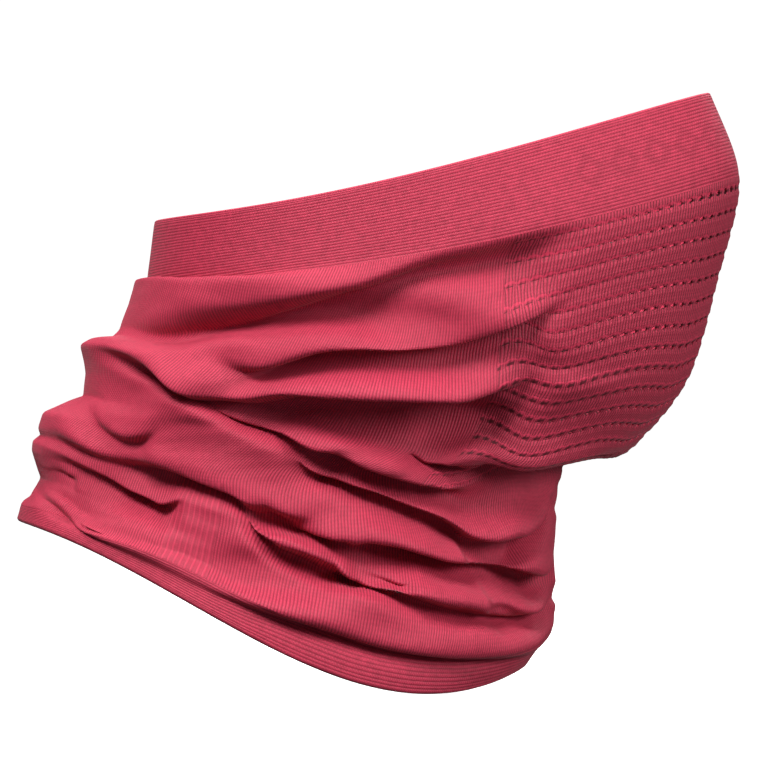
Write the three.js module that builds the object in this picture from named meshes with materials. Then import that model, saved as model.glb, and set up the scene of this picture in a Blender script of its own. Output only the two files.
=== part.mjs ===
// A knitted neck gaiter as it sits when worn: a stretch tube that runs from the bridge of the nose
// and the back of the head down to the base of the neck. It is knitted in one go on a circular
// machine, so its sub-parts are the knit zones: two folded double-ply welts, an eyelet panel over
// the nose and mouth, a plain sleeve round the cheeks and nape, and a gathered neck sleeve with a
// ribbed stripe down each side.
//
// Millimetres. The wearer faces +X, +Y is the wearer's left and +Z is up. The origin is the middle
// of the neck opening, at the hem edge.
import * as THREE from "three";

// ---- Driving dimensions ----
// Each ring is a tilted oval of the tube, from the top edge down to the hem edge.
//   x, z    middle of the oval          depth   front to back, along the tilted plane
//   width   ear to ear                  tilt    degrees the front is lifted
//   sag     how far the sides hang      taper   how much narrower the front is than the back
//   skew    how much further they hang in front of the middle than at it, as a share of the sag;
//           SAG_SKEW where a ring doesn't say
const RINGS = [
  {
    name: "top edge", x: 59, z: 160.5, depth: 209, width: 140,
    tilt: 13, sag: 6.5, taper: 0.16, skew: -0.35,
  },
  { name: "welt foot", x: 62.5, z: 130, depth: 224, width: 145, tilt: 12, sag: 5, taper: 0.16 },
  { name: "cheek", x: 53.5, z: 104, depth: 222, width: 145, tilt: 6, sag: 4, taper: 0.15 },
  { name: "jaw", x: 42.5, z: 79, depth: 221, width: 138, tilt: 0, sag: 3, taper: 0.12 },
  { name: "chin", x: 29, z: 61, depth: 210, width: 128, tilt: -3, sag: 3, taper: 0.08 },
  { name: "throat", x: 13, z: 50, depth: 192, width: 122, tilt: -3, sag: 4, taper: 0.03 },
  { name: "neck", x: 9.5, z: 31, depth: 194, width: 122, tilt: -7, sag: 8, taper: 0 },
  {
    name: "hem head", x: 5, z: 10, depth: 196, width: 126,
    tilt: -13, sag: 12.5, taper: 0, skew: 1.2,
  },
  {
    name: "hem edge", x: 0, z: 0, depth: 194, width: 132,
    tilt: -16, sag: 17, taper: 0, skew: 1.2,
  },
];
const SAG_SKEW = 0.5;
const DEPTH_SCALE = 1; // the whole form's size front to back, about the origin
const WIDTH_SCALE = 1; // the whole form's size ear to ear
const PLY = 0.9; // one thickness of the knit
const WELT_GAP = 0.5; // air between the two plies of a folded welt
const WALL = 2.8; // gathered fabric from the skin side to the bottom of a crease
const EDGE_ROUNDING = 0.2; // how soon a welt's fold curves back, as a share of its thickness
const JOIN = 0.5; // clearance where two knit zones meet
const MASK_REACH = 76; // degrees the eyelet panel runs back from the nose, on each side
const STRIPE_AT = 112; // degrees from the nose to the middle of a side stripe
const STRIPE_WIDTH = 15;
const FORWARD_TURN = 14; // degrees the columns of stitches run forward from the welt to the throat

// The gathered rolls: rounded ridges with narrow creases between them.
const ROLL_DEPTH = 4.2; // how far a roll stands out from its creases
const ROLLS_PER_RING = 1.25; // rolls between two neighbouring rings
const ROLL_SLANT = 0.25; // rings the rolls climb from the throat to the nape, each way from the ear
const FACE_FADE = 40; // degrees behind the eyelet panel before the rolls reach full height
const WELT_FADE = 0.4; // rings below the top welt before they do
const HEM_FADE = 0.5; // rings above the hem welt where they die away

const COLUMNS = 60; // steps round the whole tube
const ROWS_PER_RING = 5; // steps down a gathered wall between two neighbouring rings
const ROWS_PER_PLY = 4; // steps down each ply of a welt
const CURVE_TENSION = 0.4; // how tightly the form follows its rings
const COLOUR = 0xc9425c;

// Small steps for finding which way the form runs: a share of a ring, and radians.
const LEVEL_STEP = 0.02;
const ANGLE_STEP = 0.02;

// Which ring each zone starts and stops at.
const LEVEL = Object.fromEntries(RINGS.map((ring, i) => [ring.name, i]));
const LAST = RINGS.length - 1;

// ---- The worn form ----
const RADIANS = Math.PI / 180;
const centreLine = smooth((ring) => [ring.x * DEPTH_SCALE, 0, ring.z]);
const sizeLine = smooth((ring) => [ring.depth * DEPTH_SCALE, ring.width * WIDTH_SCALE, ring.tilt]);
const hangLine = smooth((ring) => [ring.sag, ring.taper, ring.skew ?? SAG_SKEW]);

// A smooth curve through one triple of values per ring.
function smooth(values) {
  const points = RINGS.map((ring) => new THREE.Vector3(...values(ring)));
  return new THREE.CatmullRomCurve3(points, false, "catmullrom", CURVE_TENSION);
}

// How far forward a column of stitches has turned at a level. The columns at the nose, and those
// from the stripes back, stay where they are.
function forwardTurn(level, column) {
  const { smoothstep } = THREE.MathUtils;
  const fromNose = Math.abs(Math.atan2(Math.sin(column), Math.cos(column))) / RADIANS;
  const beside = 1 - smoothstep(fromNose, MASK_REACH, STRIPE_AT);
  const below = smoothstep(level, LEVEL["welt foot"], LEVEL.throat);
  return FORWARD_TURN * RADIANS * Math.sin(column) * beside * below;
}

// A point of the smooth form at a level (0 is the top edge) and on a column of stitches, which is
// an angle round from the nose at the top edge.
function formPoint(level, column) {
  const angle = column - forwardTurn(level, column);
  const at = THREE.MathUtils.clamp(level / LAST, 0, 1);
  const centre = centreLine.getPoint(at);
  const { x: depth, y: width, z: tilt } = sizeLine.getPoint(at);
  const { x: sag, y: taper, z: skew } = hangLine.getPoint(at);
  const [c, s] = [Math.cos(angle), Math.sin(angle)];
  const along = (depth / 2) * c;
  return new THREE.Vector3(
    centre.x + along * Math.cos(tilt * RADIANS),
    (width / 2) * s * (1 - taper * c),
    centre.z + along * Math.sin(tilt * RADIANS) - sag * s * s * (1 + skew * c),
  );
}

// The outward direction of the form at a point.
function outward(level, angle) {
  const [above, below] = [Math.max(level - LEVEL_STEP, 0), Math.min(level + LEVEL_STEP, LAST)];
  const down = formPoint(below, angle).sub(formPoint(above, angle));
  const round = formPoint(level, angle + ANGLE_STEP).sub(formPoint(level, angle - ANGLE_STEP));
  return round.cross(down).normalize().negate();
}

// How far the gathered fabric stands out there. The rolls die away over the welts and over the
// stretched front of the face.
function rollHeight(level, angle) {
  const { smoothstep } = THREE.MathUtils;
  const fromNose = Math.abs(Math.atan2(Math.sin(angle), Math.cos(angle))) / RADIANS;
  const sides = smoothstep(fromNose, MASK_REACH, MASK_REACH + FACE_FADE);
  const neck = smoothstep(level, LEVEL.chin, LEVEL.throat);
  const belowWelt = smoothstep(level, LEVEL["welt foot"], LEVEL["welt foot"] + WELT_FADE);
  const aboveHem = 1 - smoothstep(level, LEVEL["hem head"] - HEM_FADE, LEVEL["hem head"]);
  const phase = ROLLS_PER_RING * (level - ROLL_SLANT * Math.cos(angle));
  const roll = Math.sqrt(Math.abs(Math.sin(Math.PI * phase)));
  return ROLL_DEPTH * Math.max(sides, neck) * belowWelt * aboveHem * roll;
}

// A point of the fabric, some millimetres in from its outer face.
function fabricPoint(level, angle, inwards) {
  const rise = inwards > 0 ? -inwards : rollHeight(level, angle);
  return formPoint(level, angle).addScaledVector(outward(level, angle), rise);
}

// The level that lies some millimetres of fabric further down (or up, if negative) at an angle.
function downFrom(level, distance, angle) {
  const near = THREE.MathUtils.clamp(level + Math.sign(distance) * LEVEL_STEP, 0, LAST);
  const reach = formPoint(level, angle).distanceTo(formPoint(near, angle));
  return level + (distance * Math.abs(near - level)) / reach;
}

// Degrees round the tube that some millimetres take up at a level and angle.
function degrees(distance, level, angle) {
  const a = formPoint(level, angle * RADIANS);
  const b = formPoint(level, (angle + 1) * RADIANS);
  return distance / a.distanceTo(b);
}

// ---- Solids ----
// Sweeps a closed section round the tube between two angles. It gives its list of [level, inwards]
// for each angle. A whole turn closes on itself, and a part turn gets a flat cap at each end.
function sweep(section, from, to) {
  const turn = 2 * Math.PI;
  const whole = to - from > turn - 1e-6;
  const steps = Math.max(2, Math.round((COLUMNS * (to - from)) / turn));
  const columns = whole ? steps : steps + 1;
  const size = section(from).length;
  const positions = [];
  for (let i = 0; i < columns; i++) {
    const angle = from + ((to - from) * i) / steps;
    for (const [level, inwards] of section(angle)) {
      positions.push(...fabricPoint(level, angle, inwards));
    }
  }
  const faces = [];
  const quad = (a, b, c, d) => faces.push(a, b, c, a, c, d);
  for (let i = 0; i < steps; i++) {
    const [here, next] = [i * size, ((i + 1) % columns) * size];
    for (let j = 0; j < size; j++) {
      const k = (j + 1) % size;
      quad(here + j, here + k, next + k, next + j);
    }
  }
  if (!whole) {
    const end = (columns - 1) * size;
    for (let j = 0; j < size / 2 - 1; j++) {
      const k = size - 1 - j;
      quad(j, k, k - 1, j + 1);
      quad(end + j, end + j + 1, end + k - 1, end + k);
    }
  }
  const geometry = new THREE.BufferGeometry();
  geometry.setAttribute("position", new THREE.Float32BufferAttribute(positions, 3));
  geometry.setIndex(faces);
  geometry.computeVertexNormals();
  return geometry;
}

// Evenly spaced values from one to another.
function spaced(from, to, steps) {
  return Array.from({ length: steps + 1 }, (_, i) => from + ((to - from) * i) / steps);
}

// A single gathered wall between two joins: down the outside, up the inside. Each zone gives up half
// of a join's clearance.
function wall(from, to) {
  const steps = Math.max(2, Math.round((to - from) * ROWS_PER_RING));
  return (angle) => {
    const [top, bottom] = [downFrom(from, JOIN / 2, angle), downFrom(to, -JOIN / 2, angle)];
    const down = spaced(top, bottom, steps);
    const up = down.toReversed();
    return [...down.map((level) => [level, 0]), ...up.map((level) => [level, WALL])];
  };
}

// A welt from its free edge to its join: the knit folded back on itself round the edge, so that two
// plies lie side by side with a narrow slit between them that opens at the join.
function welt(edge, join) {
  const thickness = 2 * PLY + WELT_GAP;
  const inwardsOfEdge = Math.sign(join - edge);
  const at = (list, inwards) => list.map((level) => [level, inwards]);
  return (angle) => {
    const from = (distance) => downFrom(edge, inwardsOfEdge * distance, angle);
    const foot = downFrom(join, (-inwardsOfEdge * JOIN) / 2, angle);
    const ply = spaced(from(thickness / 2), foot, ROWS_PER_PLY);
    const slit = [from(thickness), ...ply.slice(1)];
    const shoulder = from(thickness * EDGE_ROUNDING);
    const rounding = PLY * EDGE_ROUNDING;
    const section = [
      ...at(ply, 0),
      ...at(slit.toReversed(), PLY),
      ...at(slit, PLY + WELT_GAP),
      ...at(ply.toReversed(), thickness),
      [shoulder, thickness - rounding],
      [edge, thickness / 2],
      [shoulder, rounding],
    ];
    return edge < join ? section : section.reverse();
  };
}

// ---- Knit zones ----
const knit = new THREE.MeshStandardMaterial({ color: COLOUR, roughness: 0.9, metalness: 0 });

function zone(name, section, from = 0, to = 360) {
  const mesh = new THREE.Mesh(sweep(section, from * RADIANS, to * RADIANS), knit.clone());
  mesh.name = name;
  return mesh;
}

function buildGaiter() {
  const gaiter = new THREE.Group();
  gaiter.name = "neck_gaiter";

  gaiter.add(zone("top_welt", welt(0, LEVEL["welt foot"])));
  gaiter.add(zone("hem_welt", welt(LAST, LEVEL["hem head"])));

  const face = wall(LEVEL["welt foot"], LEVEL.throat);
  const seam = degrees(JOIN / 2, LEVEL.chin, MASK_REACH);
  gaiter.add(zone("mask_panel", face, -MASK_REACH + seam, MASK_REACH - seam));
  gaiter.add(zone("cheek_sleeve", face, MASK_REACH + seam, 360 - MASK_REACH - seam));

  const neck = wall(LEVEL.throat, LEVEL["hem head"]);
  const reach = degrees(STRIPE_WIDTH / 2, LEVEL.neck, STRIPE_AT);
  const slit = degrees(JOIN / 2, LEVEL.neck, STRIPE_AT);
  const [front, back] = [STRIPE_AT - reach, STRIPE_AT + reach];
  const between = (name, from, to) => gaiter.add(zone(name, neck, from + slit, to - slit));
  between("throat_sleeve", -front, front);
  between("rib_stripe_left", front, back);
  between("nape_sleeve", back, 360 - back);
  between("rib_stripe_right", 360 - back, 360 - front);
  return gaiter;
}

export default buildGaiter();
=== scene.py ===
"""A knitted neck gaiter as worn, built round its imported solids.

One cloth surface is worked out first, round the tube and down the fabric, with its gathered folds,
and is let settle as cloth. Each knit zone is then cut from it and given its own thickness. Metres,
the wearer faces +X, +Y is the wearer's left and +Z is up.
"""

import math

import bpy
import numpy as np
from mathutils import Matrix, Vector


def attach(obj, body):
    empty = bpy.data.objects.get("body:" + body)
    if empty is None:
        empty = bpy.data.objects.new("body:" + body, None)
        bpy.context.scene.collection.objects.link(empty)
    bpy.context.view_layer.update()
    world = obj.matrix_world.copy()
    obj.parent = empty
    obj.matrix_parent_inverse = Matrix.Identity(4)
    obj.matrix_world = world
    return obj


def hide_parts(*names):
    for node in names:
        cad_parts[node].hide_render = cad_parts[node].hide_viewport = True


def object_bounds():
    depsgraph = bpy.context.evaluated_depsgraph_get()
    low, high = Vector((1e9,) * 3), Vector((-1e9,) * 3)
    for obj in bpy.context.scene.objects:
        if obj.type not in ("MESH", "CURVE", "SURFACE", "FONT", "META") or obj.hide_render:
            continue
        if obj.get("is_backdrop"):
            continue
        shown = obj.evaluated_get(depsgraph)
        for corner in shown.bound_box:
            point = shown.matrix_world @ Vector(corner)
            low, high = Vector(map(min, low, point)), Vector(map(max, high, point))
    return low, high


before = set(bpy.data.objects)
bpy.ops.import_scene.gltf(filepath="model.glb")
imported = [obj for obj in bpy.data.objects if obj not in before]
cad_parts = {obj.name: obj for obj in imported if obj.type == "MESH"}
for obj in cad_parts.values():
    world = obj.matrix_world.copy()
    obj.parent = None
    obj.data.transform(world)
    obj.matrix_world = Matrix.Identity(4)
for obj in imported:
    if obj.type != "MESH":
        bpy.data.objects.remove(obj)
CAD_BOX = [list(corner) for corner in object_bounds()]

bl_info = {
    "name": "Neck Gaiter",
    "version": (1, 0, 0),
    "blender": (4, 5, 0),
    "location": "3D View > Sidebar > Gaiter",
    "description": "Builds a knitted neck gaiter with welts, an eyelet panel and gathered folds",
    "category": "Add Mesh",
}

MM = 0.001

# ---- Worn form ----
# Tilted ovals of the tube from the top edge to the hem edge, in millimetres and degrees: middle
# (x, z), size front to back and ear to ear, tilt of the plane, hang of the sides, narrowing of the
# front, and how much further the sides hang in front of the middle, as a share of the hang.
RINGS = {
    "top edge": (59, 160.5, 209, 140, 13, 6.5, 0.16, -0.35),
    "welt foot": (62.5, 130, 224, 145, 12, 5, 0.16, 0.5),
    "cheek": (53.5, 104, 222, 145, 6, 4, 0.15, 0.5),
    "jaw": (42.5, 79, 221, 138, 0, 3, 0.12, 0.5),
    "chin": (29, 61, 210, 128, -3, 3, 0.08, 0.5),
    "throat": (13, 50, 192, 122, -3, 4, 0.03, 0.5),
    "neck": (9.5, 31, 194, 122, -7, 8, 0, 0.5),
    "hem head": (5, 10, 196, 126, -13, 12.5, 0, 1.2),
    "hem edge": (0, 0, 194, 132, -16, 17, 0, 1.2),
}
LEVEL = {name: i for i, name in enumerate(RINGS)}
LAST = len(RINGS) - 1
CURVE_TENSION = 0.4
WELT_PROUD = 0.35 * MM  # how far a welt's outer ply stands over the sleeve
MASK_REACH = 76  # degrees the eyelet panel runs back from the nose on each side
STRIPE_AT, STRIPE_WIDTH = 112, 15  # degrees from the nose, and millimetres
FORWARD_TURN = 14  # degrees the columns of stitches run forward from the welt to the throat

EYELET_ROWS = 18
ROWS_PER_EYELET = 7  # steps of the cloth surface from one eyelet row to the next
EYELET_PITCH = 4.5  # millimetres round the tube
STEPS_PER_EYELET = 6
HOLE_ROW = ROWS_PER_EYELET // 2  # the step down from one row to the next that the holes are in
STEP_DOWN = 1.05 * MM  # one step of the cloth surface down the panel
CHIN_ROW = 15  # from here down the rows are folded under the chin, with their holes shut

# ---- Folds ----
# Each crease is a line across the side of the tube where a roll's lower edge lies, as (x, z) in
# millimetres from the back to the front, with its depth, how quickly the roll over it turns in, and
# how slowly the fabric under it comes out again at the back and at the front. "back" or "front"
# says that it runs on round that side of the tube.
CREASES = [
    # under the first roll, below the welt
    ([(-58, 93), (-46, 94), (-36, 96), (-23, 99), (-9, 102), (14, 106), (34, 111), (47, 115),
      (60, 119), (82, 124), (101, 129), (121, 135.5)], 5.0, 4, (4, 15), "back"),
    # the second ridge, under the cheek
    ([(-25, 88.5), (-4, 85), (9, 85.5), (22, 87), (47, 88.5), (66, 90.5), (82, 95), (94, 99.3),
      (114, 105)], 4.6, 4, (5, 11), ""),
    # the big roll from the nape to the jaw
    ([(-64, 91.5), (-55, 86), (-45, 82.4), (-32, 78), (-18, 75), (-4, 72), (14, 70), (34, 69),
      (60, 69.5), (85, 70.6), (104, 73)], 6.5, 4.5, (5, 19), "back"),
    # under the long roll that ends at the chin
    ([(-50, 83), (-39, 77.6), (-26, 72), (-14, 66), (-4, 62), (14, 54), (32, 47.3), (47, 41.5),
      (57, 38.6), (75, 36), (90, 33.5)], 5.5, 4.5, (5, 7), ""),
    # the pocket under the chin
    ([(50, 51), (58, 49.8), (66, 48), (75, 45), (85, 44.5), (98, 45), (109, 46)], 5.2, 3.5,
     (5, 8), "front"),
    # the roll across the throat
    ([(0, 53), (13, 45), (22, 41.5), (31, 37), (50, 30.3), (66, 24.6), (79, 21.3), (88, 21),
      (96, 23.3), (101, 27.2), (105, 31.6)], 5.5, 4.5, (6, 7), "front"),
    ([(70, 20), (79, 18), (88, 17), (97, 20)], 2.5, 3, (4, 4), ""),
    # from the nape down to the side
    ([(-82, 58), (-73, 55), (-59, 51.5), (-45, 48.5), (-32, 44), (-18, 39.7), (-4, 34.4), (9, 30.5),
      (24, 28)], 4.5, 4.5, (8, 6), "back"),
    # across the side to the throat
    ([(-2, 33), (8, 26), (22, 19.6), (37, 17), (47, 15.8), (57, 13.2), (72, 10), (91, 8.5),
      (101, 5.5)], 5.0, 4, (5, 8), "front"),
    ([(-14, 35), (-8, 27), (0, 19), (9, 13.6), (23, 8), (37, 4.4)], 4.5, 4, (5, 6), ""),
    ([(16, 18), (28, 8), (34, 3.7), (41, 0), (47, -2.6), (66, -6.3), (82, -8.6), (100, -8)],
     4.5, 4, (5, 6), "front"),
    ([(27, 16), (36, 10.7), (43, 8), (53, 3)], 3.0, 3, (4, 4), ""),
    ([(78, -2), (87, -0.5), (95, -2.5), (103, -4)], 2.8, 3, (4, 4), "front"),
    # the sleeve rolling over the hem welt
    ([(-90, 40), (-84, 33), (-72, 24), (-57, 13), (-41, 5), (-26, -1), (-4, -8), (22, -14.7),
      (41, -20.2), (66, -23.9), (95, -25)], 3.0, 3.5, (5, 8), "back front"),
    # the hollow over the hem at the nape
    ([(-87, 47.8), (-72, 45.6), (-59, 42), (-50, 37.5), (-41, 33), (-30, 30)],
     5.0, 4.5, (7, 10), "back"),
    ([(-86, 42), (-79, 43.5), (-73, 41)], 2.5, 2.5, (4, 4), "back"),
    # the smile beside the nape roll
    ([(-72, 72), (-66, 67.5), (-59, 63), (-50, 59.5), (-38, 60)], 2.6, 3.5, (6, 8), "back"),
]
# Broad swellings and hollows: (x, z, height, reach along x, reach along z).
SWELLS = [
    (-46, 108, 3.0, 26, 9), (10, 115, 2.5, 40, 6), (60, 127, 1.5, 35, 5),
    (38, 103, -5.0, 40, 7), (-35, 86, 2.0, 22, 4),
    (50, 92, 3.0, 40, 4), (40, 77, 4.0, 60, 5),
    (70, 64, -7.0, 32, 6), (-54, 74, -4.0, 13, 8), (-74, 84, 3.5, 10, 10),
    (-35, 70, 3.0, 24, 6), (22, 58, 3.0, 26, 4), (50, 50, 3.5, 30, 5), (92, 52, 3.0, 20, 4),
    (-80, 66, 3.0, 10, 6), (-70, 51, 3.0, 14, 4), (-56, 36, -5.0, 20, 8),
    (0, 22, 2.5, 30, 6), (60, 2, 3.0, 30, 5), (20, -5, 3.5, 50, 6), (-50, 15, 3.0, 25, 7),
    (90, -16, 2.0, 20, 6), (84, 29, 3.0, 14, 4), (70, -14, 2.0, 26, 4),
]
# The outline down the middle of the back and of the throat: (x, z) from the top down.
BACK_OUTLINE = [
    (-46, 124), (-49, 120.6), (-51.5, 116), (-50, 107.5), (-51.5, 101), (-55, 96.8), (-58, 94.2),
    (-66, 93.4), (-70.2, 91), (-68.4, 85), (-67.6, 81), (-68.2, 76.5), (-68.8, 72), (-74, 70.2),
    (-83.8, 66), (-85.7, 60), (-84.6, 57.2), (-87.8, 54.5), (-88.2, 51.5), (-86, 42.5), (-88.6, 36),
    (-92.3, 28.5), (-94, 24),
]
THROAT_OUTLINE = [
    (109.5, 48), (108.5, 44), (106.5, 37), (104.2, 32.4), (105.6, 29.5), (105, 21), (104.6, 16),
    (105.5, 10), (106.3, 5), (103.4, -1.8), (104.8, -5), (102.6, -12), (102.2, -18), (100, -22),
]
CREASE_DEPTH = 2.0  # times each crease's own depth
LEAN = 0.75  # how far a roll slides down over its crease, as a share of the crease's depth
EAR_RISE, EAR_OUT = 12, 4.5  # how far the first roll stands up and out over the welt at the back
FORM_AGREES = 8.0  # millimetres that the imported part's box may differ from the smooth form's
# The side view that the creases and outlines are drawn in, in millimetres: how far the eye stands,
# the (x, z) that it looks at, and the width that it takes in there.
VIEW_DISTANCE = 2350.0
VIEW_MIDDLE = (41.5, 76.8)
VIEW_WIDTH = 282.4


def check_form():
    """The cloth is only right for the part that it was worked out for."""
    span = form(*np.meshgrid(np.linspace(0, LAST, 60), np.radians(np.arange(0, 360, 3))))
    for k in range(3):
        for corner, mine in ((0, span[..., k].min()), (1, span[..., k].max())):
            if abs(mine - CAD_BOX[corner][k] / MM) > FORM_AGREES:
                raise RuntimeError("the packed part has another size than this cloth's rings")


def hermite(a, b, slope_a, slope_b, t):
    """The smooth curve from a to b that leaves and arrives at the given slopes, at share t."""
    square = 3 * (b - a) - 2 * slope_a - slope_b
    return a + slope_a * t + square * t**2 + (2 * (a - b) + slope_a + slope_b) * t**3


def cardinal(values, at):
    """A smooth curve through evenly spaced values."""
    values = np.asarray(values, float)
    padded = np.concatenate([[2 * values[0] - values[1]], values, [2 * values[-1] - values[-2]]])
    at = np.clip(at, 0, LAST - 1e-9)
    i = np.floor(at).astype(int)
    t = at - i
    a, b, c, d = (padded[i + k] for k in range(4))
    return hermite(b, c, CURVE_TENSION * (c - a), CURVE_TENSION * (d - b), t)


def nose_angle(turn):
    """Degrees from the nose, on either side, of an angle round the tube in radians."""
    return np.degrees(np.abs(np.arctan2(np.sin(turn), np.cos(turn))))


def form(level, column):
    """Points of the smooth form in millimetres. level and column are arrays, and a column of
    stitches is its angle from the nose at the top edge, in radians."""
    beside = 1 - smoothstep(MASK_REACH, STRIPE_AT, nose_angle(column))
    below = smoothstep(LEVEL["welt foot"], LEVEL["throat"], level)
    angle = column - np.radians(FORWARD_TURN) * np.sin(column) * beside * below
    x, z, depth, width, tilt, sag, taper, skew = (
        cardinal(values, level) for values in zip(*RINGS.values())
    )
    tilt = np.radians(tilt)
    c, s = np.cos(angle), np.sin(angle)
    ahead = x + depth / 2 * c * np.cos(tilt)
    beside = width / 2 * s * (1 - taper * c)
    above = z + depth / 2 * c * np.sin(tilt) - sag * s * s * (1 + skew * c)
    return np.stack([ahead, beside, above], axis=-1)


def unit(vectors):
    return vectors / np.maximum(np.linalg.norm(vectors, axis=-1, keepdims=True), 1e-12)


def face_normals(p):
    """Unit normals of four-sided faces from their corners."""
    return unit(np.cross(p[:, 2] - p[:, 0], p[:, 3] - p[:, 1]))


def grid_faces(rows, cols, closed=False):
    """Point numbers of a grid, with the first column again at its end if it closes round, and its
    faces."""
    index = np.arange(rows * cols).reshape(rows, cols)
    if closed:
        index = np.concatenate([index, index[:, :1]], axis=1)
    corners = (index[:-1, :-1], index[1:, :-1], index[1:, 1:], index[:-1, 1:])
    return index, np.stack(corners, axis=-1).reshape(-1, 4)


def read(items, key, width=1):
    """One value, or a vector of them, from each item of a mesh."""
    values = np.zeros(len(items) * width, np.int32 if key == "vertex_index" else np.float32)
    items.foreach_get(key, values)
    return values.reshape(-1, width) if width > 1 else values


def directions(points):
    """Unit normals (outwards) and downward tangents of a rows by columns grid that closes round."""
    down = np.gradient(points, axis=0)
    round_ = np.roll(points, -1, axis=1) - np.roll(points, 1, axis=1)
    return unit(np.cross(down, round_)), unit(down)


def smoothstep(low, high, value):
    t = np.clip((value - low) / (high - low), 0, 1)
    return t * t * (3 - 2 * t)


def noise(seed, x, y, octaves=3):
    """Smooth noise about 0 with features about 1 across, the same each time."""
    total = np.zeros(np.broadcast(x, y).shape)
    for octave in range(octaves):
        lattice = np.random.default_rng(seed + octave).uniform(-1, 1, (64, 64))
        px, py = x * 2**octave, y * 2**octave
        ix, iy = np.floor(px).astype(int), np.floor(py).astype(int)
        tx, ty = smoothstep(0, 1, px - ix), smoothstep(0, 1, py - iy)
        a, b, c, d = (lattice[(iy + j) % 64, (ix + i) % 64] for j in (0, 1) for i in (0, 1))
        total += (a + (b - a) * tx + (c - a) * ty + (a - b - c + d) * tx * ty) / 2**octave
    return total


def line_height(points, x):
    """A smooth line z(x) through the points, level beyond its ends."""
    px, pz = np.array(points, float).T
    slope = np.gradient(pz, px)
    i = np.clip(np.searchsorted(px, x) - 1, 0, len(px) - 2)
    width = px[i + 1] - px[i]
    t = np.clip((x - px[i]) / width, 0, 1)
    return hermite(pz[i], pz[i + 1], slope[i] * width, slope[i + 1] * width, t)


def folds(x, z):
    """How far the fabric stands out, and how far it slides down, at (x, z) on the side."""
    out = np.zeros_like(x)
    slide = np.zeros_like(x)
    for points, depth, over, under, ends in CREASES:
        depth = depth * CREASE_DEPTH
        first, last = points[0][0], points[-1][0]
        under = under[0] + (under[1] - under[0]) * smoothstep(first, last, x)
        fade = (last - first) * 0.22
        strength = np.ones_like(x)
        if "back" not in ends:
            strength *= smoothstep(first, first + fade, x)
        if "front" not in ends:
            strength *= 1 - smoothstep(last - fade, last, x)
        # The line is where the roll's lower edge comes to lie once the roll has slid over it.
        lift = max(0, LEAN * depth - over) * 0.8
        under = under + lift * 0.4
        t = z - line_height(points, x) - lift
        above = 1 - smoothstep(0, over, t)
        below = 1 - smoothstep(0.12 * under, 1.35 * under, -t)
        dip = np.where(t > 0, above, below)
        lip = np.exp(-(((t - 1.5 * over) / over) ** 2)) * 0.38
        out += depth * strength * (lip - dip)
        late = np.clip(t / over, 0, 1) * (1 - smoothstep(over, 4.5 * over, t))
        slide += LEAN * depth * strength * late
    for sx, sz, height, reach_x, reach_z in SWELLS:
        out += height * np.exp(-(((x - sx) / reach_x) ** 2) - ((z - sz) / reach_z) ** 2)
    return out, slide


# ---- The cloth surface ----
def columns():
    """Angles of the columns round the tube, and the arc length in millimetres at each."""
    fine = np.radians(np.linspace(-180, 180, 7201))
    reference = form(np.full_like(fine, LEVEL["cheek"] + 1.0), fine)
    arc = np.concatenate([[0], np.cumsum(np.linalg.norm(np.diff(reference, axis=0), axis=1))])
    edge = np.radians(MASK_REACH)
    arc_at = lambda angle: np.interp(angle, fine, arc)
    eyelets = round((arc_at(edge) - arc_at(-edge)) / EYELET_PITCH)
    mask = np.linspace(arc_at(-edge), arc_at(edge), eyelets * STEPS_PER_EYELET + 1)
    steps = round((arc[-1] - arc_at(edge)) / SIDE_STEP)
    right = np.linspace(arc_at(edge), arc[-1], steps + 1)[1:]
    left = np.linspace(0, arc_at(-edge), steps + 1)[1:-1]
    every = np.concatenate([mask, right, left + arc[-1]])
    angles = np.interp(every % arc[-1], arc, fine)
    angles[len(mask) + steps - 1] = np.pi
    return angles, every - every[0], arc[-1], len(mask)


SIDE_STEP = 1.15  # millimetres from one column to the next behind the panel
ROWS_PER_RING = 90  # of the folded surface, before its rows are spaced evenly
ZONES = [  # rows of the cloth surface in each band: from ring, to ring, rows
    ("top edge", "welt foot", 26),
    ("welt foot", "throat", EYELET_ROWS * ROWS_PER_EYELET),
    ("throat", "hem head", 72),
    ("hem head", "hem edge", 14),
]


def settled_rows(points, count, blend=9):
    """Rows of a band again, evenly spaced along the cloth in each column, without wiggles."""
    steps = np.linalg.norm(np.diff(points, axis=0), axis=2)
    along = np.concatenate([np.zeros((1, points.shape[1])), np.cumsum(steps, axis=0)])
    share = along / along[-1]
    kernel = np.exp(-(np.linspace(-2, 2, 2 * blend + 1) ** 2))
    kernel /= kernel.sum()
    share = sum(k * np.roll(share, i - blend, axis=1) for i, k in enumerate(kernel))
    at = np.linspace(0, 1, count + 1)
    rows = np.arange(len(points), dtype=float)
    place = np.stack([np.interp(at, share[:, c], rows) for c in range(points.shape[1])], axis=1)
    low = np.clip(np.floor(place).astype(int), 0, len(points) - 2)
    t = (place - low)[..., None]
    c = np.arange(points.shape[1])[None, :]
    return points[low, c] * (1 - t) + points[low + 1, c] * t


def elevation(points):
    """(x, z) on the side elevation, seen from the drawing's distance, the same for both sides."""
    grow = VIEW_DISTANCE / (VIEW_DISTANCE - np.abs(points[..., 1]))
    mx, mz = VIEW_MIDDLE
    return mx + (points[..., 0] - mx) * grow, mz + (points[..., 2] - mz) * grow


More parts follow.
